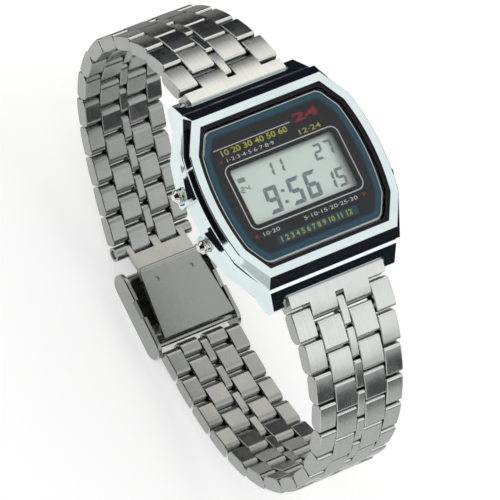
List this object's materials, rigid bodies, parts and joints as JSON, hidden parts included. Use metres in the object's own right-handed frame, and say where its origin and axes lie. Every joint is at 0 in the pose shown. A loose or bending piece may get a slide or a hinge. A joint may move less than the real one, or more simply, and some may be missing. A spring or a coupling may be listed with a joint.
{
  "type": "digital wristwatch",
  "caption": "Slim rectangular digital watch with a folded-link steel bracelet and a folding clasp, closed and standing on the clasp.",
  "frame": {"origin": "middle of the underside of the bounding box, on the outer face of the clasp", "axes": "+X to 3 o'clock, +Y to 12 o'clock, +Z out of the dial; the watch stands on its clasp"},
  "size_m": [0.0376, 0.0794, 0.0575],
  "materials": {
    "case_chrome": "polished bright plating",
    "steel_brushed": "satin stainless steel",
    "steel_bright": "bright turned steel",
    "window": "clear mineral window",
    "gasket_rubber": "black sealing rubber",
    "dial_print": "charcoal printed panel",
    "lcd_glass": "grey-green display cell",
    "module_plastic": "black moulded plastic",
    "board_laminate": "green circuit board",
    "zebra_rubber": "striped elastic connector",
    "cell_steel": "nickel-plated cell",
    "lamp_resin": "clear lamp resin",
    "buzzer_brass": "brass sounder disc"
  },
  "bodies": {
    "head": {"case_body": "case_chrome", "bezel": "case_chrome", "crystal": "window", "crystal_gasket": "gasket_rubber", "dial_plate": "dial_print", "lcd_panel": "lcd_glass", "module_frame": "module_plastic", "circuit_board": "board_laminate", "lcd_connectors": "zebra_rubber", "battery": "cell_steel", "battery_clip": "steel_bright", "quartz_can": "steel_bright", "backlight_lamp": "lamp_resin", "piezo_buzzer": "buzzer_brass", "buzzer_spring": "steel_bright", "case_back": "steel_brushed", "back_gasket": "gasket_rubber", "back_screws": "steel_bright", "button_seals": "gasket_rubber", "upper_spring_bar": "steel_bright", "lower_spring_bar": "steel_bright", "upper_end_link": "steel_brushed", "lower_end_link": "steel_brushed", "light_spring": "steel_bright", "mode_spring": "steel_bright", "start_spring": "steel_bright"},
    "light_button": {"light_button": "steel_bright"},
    "mode_button": {"mode_button": "steel_bright"},
    "start_button": {"start_button": "steel_bright"},
    "upper_link_01": {"upper_link_01": "steel_brushed"},
    "upper_link_02": {"upper_link_02": "steel_brushed"},
    "upper_link_03": {"upper_link_03": "steel_brushed"},
    "upper_link_04": {"upper_link_04": "steel_brushed"},
    "upper_link_05": {"upper_link_05": "steel_brushed"},
    "upper_link_06": {"upper_link_06": "steel_brushed"},
    "upper_link_07": {"upper_link_07": "steel_brushed"},
    "upper_link_08": {"upper_link_08": "steel_brushed"},
    "upper_link_09": {"upper_link_09": "steel_brushed"},
    "upper_link_10": {"upper_link_10": "steel_brushed"},
    "upper_link_11": {"upper_link_11": "steel_brushed"},
    "upper_link_12": {"upper_link_12": "steel_brushed"},
    "upper_link_13": {"upper_link_13": "steel_brushed"},
    "clasp_inner_blade": {"clasp_inner_blade": "steel_brushed"},
    "lower_link_01": {"lower_link_01": "steel_brushed"},
    "lower_link_02": {"lower_link_02": "steel_brushed"},
    "lower_link_03": {"lower_link_03": "steel_brushed"},
    "lower_link_04": {"lower_link_04": "steel_brushed"},
    "lower_link_05": {"lower_link_05": "steel_brushed"},
    "lower_link_06": {"lower_link_06": "steel_brushed"},
    "lower_link_07": {"lower_link_07": "steel_brushed"},
    "lower_link_08": {"lower_link_08": "steel_brushed"},
    "lower_link_09": {"lower_link_09": "steel_brushed"},
    "lower_link_10": {"lower_link_10": "steel_brushed"},
    "lower_link_11": {"lower_link_11": "steel_brushed"},
    "lower_link_12": {"lower_link_12": "steel_brushed"},
    "lower_link_13": {"lower_link_13": "steel_brushed"},
    "lower_link_14": {"lower_link_14": "steel_brushed"},
    "lower_link_15": {"lower_link_15": "steel_brushed"},
    "clasp_middle_blade": {"clasp_middle_blade": "steel_brushed"},
    "clasp_cover": {"clasp_cover": "steel_brushed"}
  },
  "joints": [
    {"name": "upper_bracelet_flex", "type": "hinge", "parent": "head", "child": "upper_link_01", "pos_m": [0, 0.02309, 0.0513], "axis": [1, 0, 0], "range_deg": [0, 26.52]},
    {"name": "upper_link_02_hinge", "type": "hinge", "parent": "upper_link_01", "child": "upper_link_02", "pos_m": [0, 0.02783, 0.04893], "axis": [1, 0, 0], "range_deg": [0, 13.1]},
    {"name": "upper_link_03_hinge", "type": "hinge", "parent": "upper_link_02", "child": "upper_link_03", "pos_m": [0, 0.03191, 0.04555], "axis": [1, 0, 0], "range_deg": [0, 13]},
    {"name": "upper_link_04_hinge", "type": "hinge", "parent": "upper_link_03", "child": "upper_link_04", "pos_m": [0, 0.03513, 0.04134], "axis": [1, 0, 0], "range_deg": [0, 12.9]},
    {"name": "upper_link_05_hinge", "type": "hinge", "parent": "upper_link_04", "child": "upper_link_05", "pos_m": [0, 0.03733, 0.03652], "axis": [1, 0, 0], "range_deg": [0, 13.1]},
    {"name": "upper_link_06_hinge", "type": "hinge", "parent": "upper_link_05", "child": "upper_link_06", "pos_m": [0, 0.03838, 0.03132], "axis": [1, 0, 0], "range_deg": [0, 14.2]},
    {"name": "upper_link_07_hinge", "type": "hinge", "parent": "upper_link_06", "child": "upper_link_07", "pos_m": [0, 0.03812, 0.02603], "axis": [1, 0, 0], "range_deg": [0, 15.6]},
    {"name": "upper_link_08_hinge", "type": "hinge", "parent": "upper_link_07", "child": "upper_link_08", "pos_m": [0, 0.03645, 0.021], "axis": [1, 0, 0], "range_deg": [0, 16]},
    {"name": "upper_link_09_hinge", "type": "hinge", "parent": "upper_link_08", "child": "upper_link_09", "pos_m": [0, 0.03345, 0.01663], "axis": [1, 0, 0], "range_deg": [0, 13.7]},
    {"name": "upper_link_10_hinge", "type": "hinge", "parent": "upper_link_09", "child": "upper_link_10", "pos_m": [0, 0.02951, 0.01309], "axis": [1, 0, 0], "range_deg": [0, 9.3]},
    {"name": "upper_link_11_hinge", "type": "hinge", "parent": "upper_link_10", "child": "upper_link_11", "pos_m": [0, 0.02505, 0.01023], "axis": [1, 0, 0], "range_deg": [0, 4.7]},
    {"name": "upper_link_12_hinge", "type": "hinge", "parent": "upper_link_11", "child": "upper_link_12", "pos_m": [0, 0.02037, 0.00775], "axis": [1, 0, 0], "range_deg": [0, 1.8]},
    {"name": "upper_link_13_hinge", "type": "hinge", "parent": "upper_link_12", "child": "upper_link_13", "pos_m": [0, 0.01561, 0.00541], "axis": [1, 0, 0], "range_deg": [0, 1.5]},
    {"name": "clasp_inner_blade_hinge", "type": "hinge", "parent": "upper_link_13", "child": "clasp_inner_blade", "pos_m": [0, 0.01079, 0.0032], "axis": [1, 0, 0], "range_deg": [0, 24.66]},
    {"name": "lower_bracelet_flex", "type": "hinge", "parent": "head", "child": "lower_link_01", "pos_m": [0, -0.01791, 0.0513], "axis": [-1, 0, 0], "range_deg": [0, 19.42]},
    {"name": "lower_link_02_hinge", "type": "hinge", "parent": "lower_link_01", "child": "lower_link_02", "pos_m": [0, -0.02291, 0.04954], "axis": [-1, 0, 0], "range_deg": [0, 10.11]},
    {"name": "lower_link_03_hinge", "type": "hinge", "parent": "lower_link_02", "child": "lower_link_03", "pos_m": [0, -0.02752, 0.04693], "axis": [-1, 0, 0], "range_deg": [0, 10.61]},
    {"name": "lower_link_04_hinge", "type": "hinge", "parent": "lower_link_03", "child": "lower_link_04", "pos_m": [0, -0.03157, 0.04351], "axis": [-1, 0, 0], "range_deg": [0, 11.61]},
    {"name": "lower_link_05_hinge", "type": "hinge", "parent": "lower_link_04", "child": "lower_link_05", "pos_m": [0, -0.03486, 0.03935], "axis": [-1, 0, 0], "range_deg": [0, 12.41]},
    {"name": "lower_link_06_hinge", "type": "hinge", "parent": "lower_link_05", "child": "lower_link_06", "pos_m": [0, -0.03717, 0.03458], "axis": [-1, 0, 0], "range_deg": [0, 12.91]},
    {"name": "lower_link_07_hinge", "type": "hinge", "parent": "lower_link_06", "child": "lower_link_07", "pos_m": [0, -0.03836, 0.02942], "axis": [-1, 0, 0], "range_deg": [0, 13.21]},
    {"name": "lower_link_08_hinge", "type": "hinge", "parent": "lower_link_07", "child": "lower_link_08", "pos_m": [0, -0.03834, 0.02412], "axis": [-1, 0, 0], "range_deg": [0, 13.61]},
    {"name": "lower_link_09_hinge", "type": "hinge", "parent": "lower_link_08", "child": "lower_link_09", "pos_m": [0, -0.03708, 0.01897], "axis": [-1, 0, 0], "range_deg": [0, 14.11]},
    {"name": "lower_link_10_hinge", "type": "hinge", "parent": "lower_link_09", "child": "lower_link_10", "pos_m": [0, -0.0346, 0.01429], "axis": [-1, 0, 0], "range_deg": [0, 14.71]},
    {"name": "lower_link_11_hinge", "type": "hinge", "parent": "lower_link_10", "child": "lower_link_11", "pos_m": [0, -0.03101, 0.01039], "axis": [-1, 0, 0], "range_deg": [0, 13.91]},
    {"name": "lower_link_12_hinge", "type": "hinge", "parent": "lower_link_11", "child": "lower_link_12", "pos_m": [0, -0.02659, 0.00746], "axis": [-1, 0, 0], "range_deg": [0, 11.61]},
    {"name": "lower_link_13_hinge", "type": "hinge", "parent": "lower_link_12", "child": "lower_link_13", "pos_m": [0, -0.02167, 0.00549], "axis": [-1, 0, 0], "range_deg": [0, 8.31]},
    {"name": "lower_link_14_hinge", "type": "hinge", "parent": "lower_link_13", "child": "lower_link_14", "pos_m": [0, -0.01652, 0.00424], "axis": [-1, 0, 0], "range_deg": [0, 4.91]},
    {"name": "lower_link_15_hinge", "type": "hinge", "parent": "lower_link_14", "child": "lower_link_15", "pos_m": [0, -0.01128, 0.00344], "axis": [-1, 0, 0], "range_deg": [0, 2.91]},
    {"name": "clasp_unfold", "type": "hinge", "parent": "clasp_inner_blade", "child": "clasp_middle_blade", "pos_m": [0, -0.00341, 0.0029], "axis": [-1, 0, 0], "range_deg": [0, 140]},
    {"name": "clasp_cover_hinge", "type": "hinge", "parent": "clasp_middle_blade", "child": "clasp_cover", "pos_m": [0, 0.00579, 0.0022], "axis": [1, 0, 0], "range_deg": [0, 140.01]},
    {"name": "light_press", "type": "slide", "parent": "head", "child": "light_button", "axis": [1, 0, 0], "range_m": [0, 0.0006], "stiffness_N_per_m": 400, "springref_m": -0.0005, "deforming": ["light_spring"]},
    {"name": "mode_press", "type": "slide", "parent": "head", "child": "mode_button", "axis": [1, 0, 0], "range_m": [0, 0.0006], "stiffness_N_per_m": 400, "springref_m": -0.0005, "deforming": ["mode_spring"]},
    {"name": "start_press", "type": "slide", "parent": "head", "child": "start_button", "axis": [-1, 0, 0], "range_m": [0, 0.0006], "stiffness_N_per_m": 400, "springref_m": -0.0005, "deforming": ["start_spring"]}
  ],
  "couplings": [
    {"joint": "upper_link_02_hinge", "follows": "upper_bracelet_flex", "ratio": 0.49367},
    {"joint": "upper_link_03_hinge", "follows": "upper_bracelet_flex", "ratio": 0.4899},
    {"joint": "upper_link_04_hinge", "follows": "upper_bracelet_flex", "ratio": 0.48613},
    {"joint": "upper_link_05_hinge", "follows": "upper_bracelet_flex", "ratio": 0.49367},
    {"joint": "upper_link_06_hinge", "follows": "upper_bracelet_flex", "ratio": 0.53514},
    {"joint": "upper_link_07_hinge", "follows": "upper_bracelet_flex", "ratio": 0.58793},
    {"joint": "upper_link_08_hinge", "follows": "upper_bracelet_flex", "ratio": 0.60301},
    {"joint": "upper_link_09_hinge", "follows": "upper_bracelet_flex", "ratio": 0.51629},
    {"joint": "upper_link_10_hinge", "follows": "upper_bracelet_flex", "ratio": 0.35041},
    {"joint": "upper_link_11_hinge", "follows": "upper_bracelet_flex", "ratio": 0.17698},
    {"joint": "upper_link_12_hinge", "follows": "upper_bracelet_flex", "ratio": 0.067643},
    {"joint": "upper_link_13_hinge", "follows": "upper_bracelet_flex", "ratio": 0.056332},
    {"joint": "clasp_inner_blade_hinge", "follows": "upper_bracelet_flex", "ratio": 0.92921},
    {"joint": "lower_link_02_hinge", "follows": "lower_bracelet_flex", "ratio": 0.51996},
    {"joint": "lower_link_03_hinge", "follows": "lower_bracelet_flex", "ratio": 0.54571},
    {"joint": "lower_link_04_hinge", "follows": "lower_bracelet_flex", "ratio": 0.5972},
    {"joint": "lower_link_05_hinge", "follows": "lower_bracelet_flex", "ratio": 0.63839},
    {"joint": "lower_link_06_hinge", "follows": "lower_bracelet_flex", "ratio": 0.66414},
    {"joint": "lower_link_07_hinge", "follows": "lower_bracelet_flex", "ratio": 0.67958},
    {"joint": "lower_link_08_hinge", "follows": "lower_bracelet_flex", "ratio": 0.70018},
    {"joint": "lower_link_09_hinge", "follows": "lower_bracelet_flex", "ratio": 0.72593},
    {"joint": "lower_link_10_hinge", "follows": "lower_bracelet_flex", "ratio": 0.75682},
    {"joint": "lower_link_11_hinge", "follows": "lower_bracelet_flex", "ratio": 0.71563},
    {"joint": "lower_link_12_hinge", "follows": "lower_bracelet_flex", "ratio": 0.5972},
    {"joint": "lower_link_13_hinge", "follows": "lower_bracelet_flex", "ratio": 0.42728},
    {"joint": "lower_link_14_hinge", "follows": "lower_bracelet_flex", "ratio": 0.25221},
    {"joint": "lower_link_15_hinge", "follows": "lower_bracelet_flex", "ratio": 0.14922},
    {"joint": "clasp_cover_hinge", "follows": "clasp_unfold", "ratio": 1}
  ]
}
